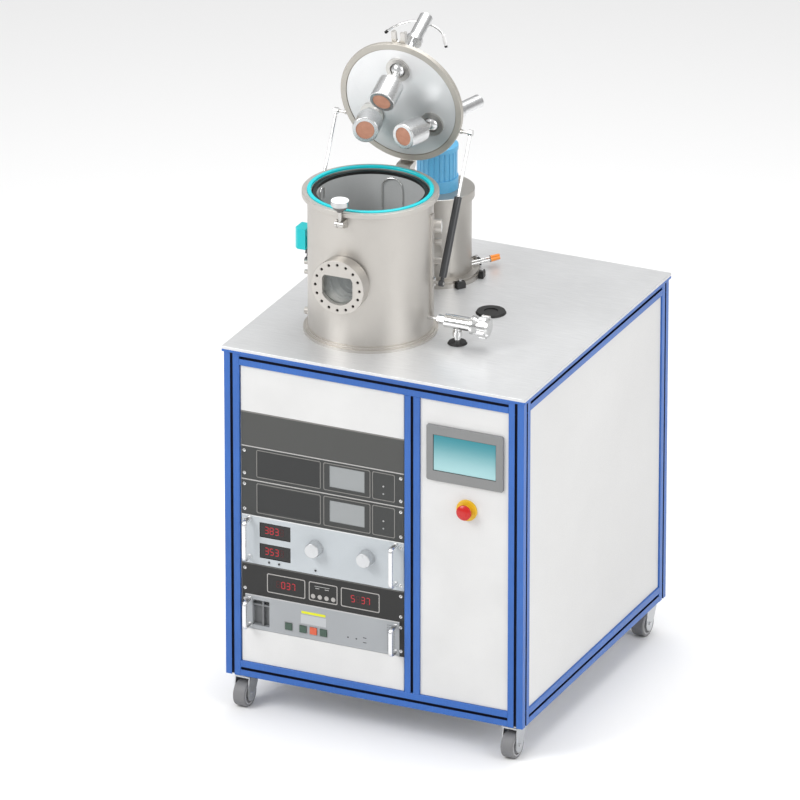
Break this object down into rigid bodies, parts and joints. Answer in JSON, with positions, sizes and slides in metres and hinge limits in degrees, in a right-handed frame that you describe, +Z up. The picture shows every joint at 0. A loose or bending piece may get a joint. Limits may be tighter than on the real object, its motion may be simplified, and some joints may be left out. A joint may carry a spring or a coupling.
{
  "type": "sputter coater",
  "caption": "Floor-standing magnetron sputter coater: wheeled cabinet with rack electronics, vacuum chamber with a raised hinged lid carrying three guns, and a high vacuum valve behind.",
  "frame": {"origin": "on the floor under the middle of the cabinet", "axes": "+Z up, -Y towards the front with the rack units, +X to the right of someone facing the front"},
  "size_m": [0.895, 1.04, 1.86],
  "materials": {
    "frame_blue": "satin anodised",
    "stainless": "brushed",
    "panel_white": "fine textured powder coat",
    "zinc": "zinc plated",
    "rack_dark": "satin",
    "rack_silver": "satin",
    "rack_black": "satin",
    "rack_grey": "satin",
    "chrome": "polished",
    "bezel_grey": "satin",
    "stop_yellow": "satin",
    "stop_red": "gloss",
    "chamber_steel": "bead blasted",
    "gasket_cyan": "matte",
    "liner_dark": "coated sheet",
    "glass": "clear",
    "gauge_teal": "satin",
    "polished": "polished",
    "rubber": "matte",
    "actuator_blue": "satin",
    "cast_aluminium": "turned",
    "lid_steel": "bead blasted",
    "knob_silver": "turned",
    "button_green": "satin",
    "button_orange": "lit",
    "gun_aluminium": "turned",
    "target_copper": "matte sputtered copper",
    "strut_dark": "satin",
    "wheel_rubber": "matte"
  },
  "bodies": {
    "cabinet": {"cabinet_frame": "frame_blue", "worktop": "stainless", "cabinet_panels": "panel_white", "front_panels": "panel_white", "power_supplies": "rack_dark", "dc_supply": "rack_silver", "gauge_unit": "rack_black", "valve_controller": "rack_grey", "rack_handles": "chrome", "touchscreen": "bezel_grey", "estop_collar": "stop_yellow", "caster_plates": "zinc", "chamber_body": "chamber_steel", "chamber_flange": "chamber_steel", "chamber_ports": "chamber_steel", "chamber_gasket": "gasket_cyan", "chamber_liner": "liner_dark", "chamber_brackets": "stainless", "viewport_flange": "chamber_steel", "viewport_glass": "glass", "viewport_bolts": "stainless", "gauge_head": "gauge_teal", "manual_valve": "polished", "grommets": "rubber", "vacuum_valve": "chamber_steel", "valve_actuator": "actuator_blue", "turbo_pump": "cast_aluminium", "coolant_nipples": "stainless", "stage_drive": "rack_black"},
    "lid": {"lid": "lid_steel", "lid_fittings": "polished"},
    "gun_1": {"sputter_gun_1": "gun_aluminium", "target_1": "target_copper"},
    "gun_2": {"sputter_gun_2": "gun_aluminium", "target_2": "target_copper"},
    "gun_3": {"sputter_gun_3": "gun_aluminium", "target_3": "target_copper"},
    "clamp_bolt": {"clamp_swing_bolt": "stainless"},
    "clamp_knob": {"clamp_knob": "rack_silver"},
    "strut_cylinder_left": {"strut_cylinder_left": "strut_dark"},
    "strut_cylinder_right": {"strut_cylinder_right": "strut_dark"},
    "strut_rod_left": {"strut_rod_left": "polished"},
    "strut_rod_right": {"strut_rod_right": "polished"},
    "valve_handwheel": {"valve_handwheel": "polished"},
    "sample_stage": {"sample_stage": "stainless"},
    "supply_knob_1": {"supply_knob_1": "knob_silver"},
    "supply_knob_2": {"supply_knob_2": "knob_silver"},
    "estop_button": {"estop_button": "stop_red"},
    "controller_button_1": {"controller_button_1": "button_green"},
    "controller_button_2": {"controller_button_2": "button_green"},
    "controller_button_3": {"controller_button_3": "button_orange"},
    "controller_button_4": {"controller_button_4": "button_green"},
    "caster_fork_front_left": {"caster_fork_front_left": "zinc"},
    "caster_wheel_front_left": {"caster_wheel_front_left": "wheel_rubber"},
    "caster_fork_front_right": {"caster_fork_front_right": "zinc"},
    "caster_wheel_front_right": {"caster_wheel_front_right": "wheel_rubber"},
    "caster_fork_rear_left": {"caster_fork_rear_left": "zinc"},
    "caster_wheel_rear_left": {"caster_wheel_rear_left": "wheel_rubber"},
    "caster_fork_rear_right": {"caster_fork_rear_right": "zinc"},
    "caster_wheel_rear_right": {"caster_wheel_rear_right": "wheel_rubber"}
  },
  "joints": [
    {"name": "lid_hinge", "type": "hinge", "parent": "cabinet", "child": "lid", "pos_m": [-0.135, -0.0065, 1.448], "axis": [1, 0, 0], "range_deg": [0, 80.5]},
    {"name": "gun_1_tilt", "type": "hinge", "parent": "lid", "child": "gun_1", "pos_m": [-0.135, -0.02405, 1.75278], "axis": [1, 0, 0], "range_deg": [-17, 8]},
    {"name": "gun_2_tilt", "type": "hinge", "parent": "lid", "child": "gun_2", "pos_m": [-0.04666, 0.00121, 1.60188], "axis": [-0.5, 0.1429, -0.8541], "range_deg": [-17, 8]},
    {"name": "gun_3_tilt", "type": "hinge", "parent": "lid", "child": "gun_3", "pos_m": [-0.22334, 0.00121, 1.60188], "axis": [-0.5, -0.1429, 0.8541], "range_deg": [-17, 8]},
    {"name": "strut_left_pivot", "type": "hinge", "parent": "cabinet", "child": "strut_cylinder_left", "pos_m": [-0.334, -0.185, 1.222], "axis": [1, 0, 0], "range_deg": [-2, 20.17]},
    {"name": "strut_left_stroke", "type": "slide", "parent": "strut_cylinder_left", "child": "strut_rod_left", "axis": [0, 0.4565, 0.8897], "range_m": [-0.15434, 0.001]},
    {"name": "strut_right_pivot", "type": "hinge", "parent": "cabinet", "child": "strut_cylinder_right", "pos_m": [0.064, -0.185, 1.222], "axis": [1, 0, 0], "range_deg": [-2, 20.17]},
    {"name": "strut_right_stroke", "type": "slide", "parent": "strut_cylinder_right", "child": "strut_rod_right", "axis": [0, 0.4565, 0.8897], "range_m": [-0.15434, 0.001]},
    {"name": "clamp_swing", "type": "hinge", "parent": "cabinet", "child": "clamp_bolt", "pos_m": [-0.135, -0.402, 1.44], "axis": [1, 0, 0], "range_deg": [0, 95.5]},
    {"name": "clamp_knob_turn", "type": "hinge", "parent": "clamp_bolt", "child": "clamp_knob", "pos_m": [-0.135, -0.402, 1.497], "axis": [0, 0, 1], "continuous": true},
    {"name": "valve_handwheel_turn", "type": "hinge", "parent": "cabinet", "child": "valve_handwheel", "pos_m": [0.195, -0.208, 1.128], "axis": [1, 0, 0], "range_deg": [-540, 0]},
    {"name": "stage_rotation", "type": "hinge", "parent": "cabinet", "child": "sample_stage", "pos_m": [-0.135, -0.208, 1.149], "axis": [0, 0, 1], "continuous": true},
    {"name": "supply_knob_1_turn", "type": "hinge", "parent": "cabinet", "child": "supply_knob_1", "pos_m": [-0.1735, -0.49, 0.5195], "axis": [0, -1, 0], "range_deg": [-150, 150]},
    {"name": "supply_knob_2_turn", "type": "hinge", "parent": "cabinet", "child": "supply_knob_2", "pos_m": [-0.0205, -0.49, 0.5195], "axis": [0, -1, 0], "range_deg": [-150, 150]},
    {"name": "controller_button_1_press", "type": "slide", "parent": "cabinet", "child": "controller_button_1", "axis": [0, 1, 0], "range_m": [0, 0.003], "stiffness_N_per_m": 600, "springref_m": -0.001},
    {"name": "controller_button_2_press", "type": "slide", "parent": "cabinet", "child": "controller_button_2", "axis": [0, 1, 0], "range_m": [0, 0.003], "stiffness_N_per_m": 600, "springref_m": -0.001},
    {"name": "controller_button_3_press", "type": "slide", "parent": "cabinet", "child": "controller_button_3", "axis": [0, 1, 0], "range_m": [0, 0.003], "stiffness_N_per_m": 600, "springref_m": -0.001},
    {"name": "controller_button_4_press", "type": "slide", "parent": "cabinet", "child": "controller_button_4", "axis": [0, 1, 0], "range_m": [0, 0.003], "stiffness_N_per_m": 600, "springref_m": -0.001},
    {"name": "estop_press", "type": "slide", "parent": "cabinet", "child": "estop_button", "axis": [0, 1, 0], "range_m": [0, 0.004], "stiffness_N_per_m": 2500, "springref_m": -0.001},
    {"name": "caster_swivel_front_left", "type": "hinge", "parent": "cabinet", "child": "caster_fork_front_left", "pos_m": [-0.4, -0.44, 0.09], "axis": [0, 0, 1], "continuous": true},
    {"name": "caster_roll_front_left", "type": "hinge", "parent": "caster_fork_front_left", "child": "caster_wheel_front_left", "pos_m": [-0.40052, -0.45499, 0.0375], "axis": [-0.9994, 0.0349, 0], "continuous": true},
    {"name": "caster_swivel_front_right", "type": "hinge", "parent": "cabinet", "child": "caster_fork_front_right", "pos_m": [0.4, -0.44, 0.09], "axis": [0, 0, 1], "continuous": true},
    {"name": "caster_roll_front_right", "type": "hinge", "parent": "caster_fork_front_right", "child": "caster_wheel_front_right", "pos_m": [0.39948, -0.45499, 0.0375], "axis": [-0.9994, 0.0349, 0], "continuous": true},
    {"name": "caster_swivel_rear_left", "type": "hinge", "parent": "cabinet", "child": "caster_fork_rear_left", "pos_m": [-0.4, 0.44, 0.09], "axis": [0, 0, 1], "continuous": true},
    {"name": "caster_roll_rear_left", "type": "hinge", "parent": "caster_fork_rear_left", "child": "caster_wheel_rear_left", "pos_m": [-0.40052, 0.42501, 0.0375], "axis": [-0.9994, 0.0349, 0], "continuous": true},
    {"name": "caster_swivel_rear_right", "type": "hinge", "parent": "cabinet", "child": "caster_fork_rear_right", "pos_m": [0.4, 0.44, 0.09], "axis": [0, 0, 1], "continuous": true},
    {"name": "caster_roll_rear_right", "type": "hinge", "parent": "caster_fork_rear_right", "child": "caster_wheel_rear_right", "pos_m": [0.39948, 0.42501, 0.0375], "axis": [-0.9994, 0.0349, 0], "continuous": true}
  ],
  "couplings": [
    {"joint": "strut_left_pivot", "follows": "lid_hinge", "ratio": 0.2257},
    {"joint": "strut_left_stroke", "follows": "lid_hinge", "m_per_rad": -0.10701},
    {"joint": "strut_right_pivot", "follows": "lid_hinge", "ratio": 0.2257},
    {"joint": "strut_right_stroke", "follows": "lid_hinge", "m_per_rad": -0.10701},
    {"joint": "clamp_swing", "follows": "lid_hinge", "ratio": 1.1801}
  ]
}
